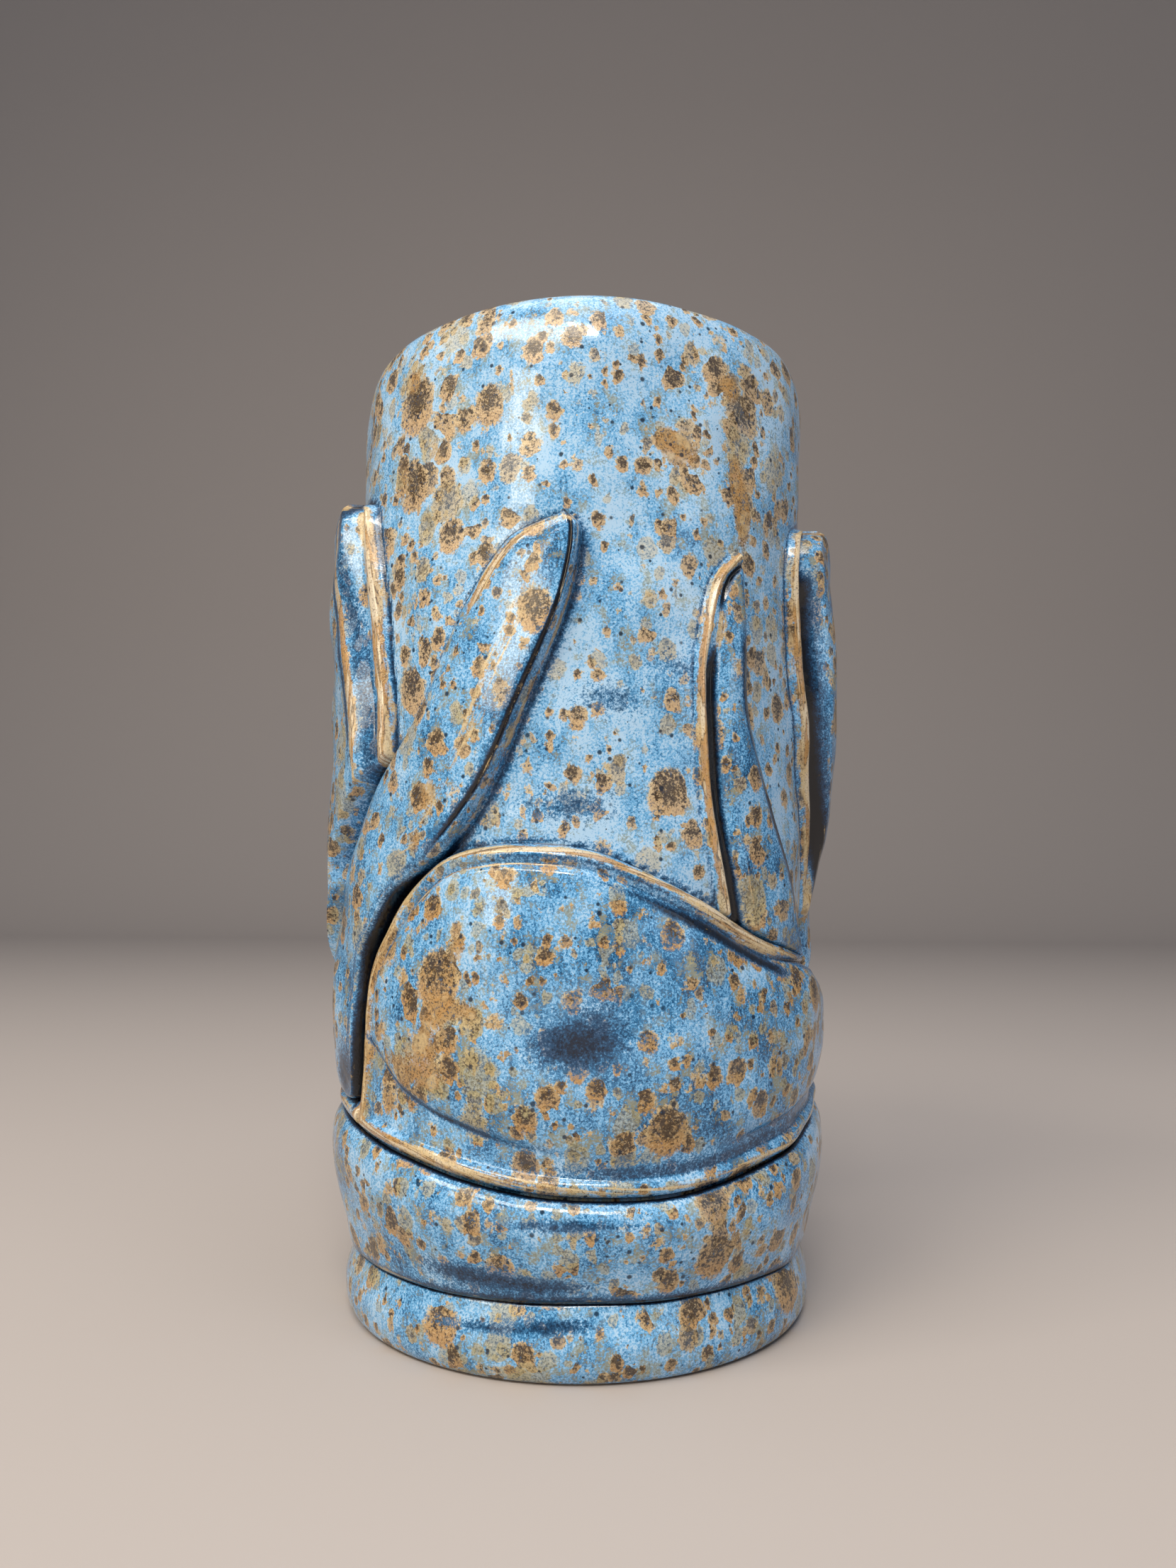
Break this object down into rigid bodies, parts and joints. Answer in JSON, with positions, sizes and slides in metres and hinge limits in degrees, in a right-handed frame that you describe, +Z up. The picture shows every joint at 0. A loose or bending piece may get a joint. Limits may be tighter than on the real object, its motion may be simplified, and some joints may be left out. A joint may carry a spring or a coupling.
{
  "type": "tulip vase",
  "caption": "Cylindrical glazed stoneware vase with tulip leaves and domed bud petals in relief above a belt and a flared foot.",
  "frame": {"origin": "centre of the foot's resting face", "axes": "+Z up along the vase's axis; -Y is the side that the picture shows, +X is its right"},
  "size_m": [0.1126, 0.1082, 0.2],
  "materials": {
    "body_glaze": "glossy blue glaze with ochre crystal spots, breaking tan on raised edges and pooling dark in grooves",
    "leaf_glaze": "glossy blue glaze with ochre crystal spots, breaking tan on raised edges and pooling dark in grooves",
    "petal_glaze": "glossy blue glaze with ochre crystal spots, breaking tan on raised edges and pooling dark in grooves",
    "foot_glaze": "glossy blue glaze with ochre crystal spots, breaking tan on raised edges and pooling dark in grooves"
  },
  "bodies": {
    "root": {"thrown_body": "body_glaze", "foot_ring": "foot_glaze", "belt_band": "foot_glaze", "front_bud_petal": "petal_glaze", "front_crossing_leaf": "leaf_glaze", "front_keeled_leaf": "leaf_glaze", "front_curled_leaf": "leaf_glaze", "front_cupped_leaf": "leaf_glaze", "back_bud_petal": "petal_glaze", "back_crossing_leaf": "leaf_glaze", "back_keeled_leaf": "leaf_glaze", "back_curled_leaf": "leaf_glaze", "back_cupped_leaf": "leaf_glaze"}
  },
  "joints": []
}
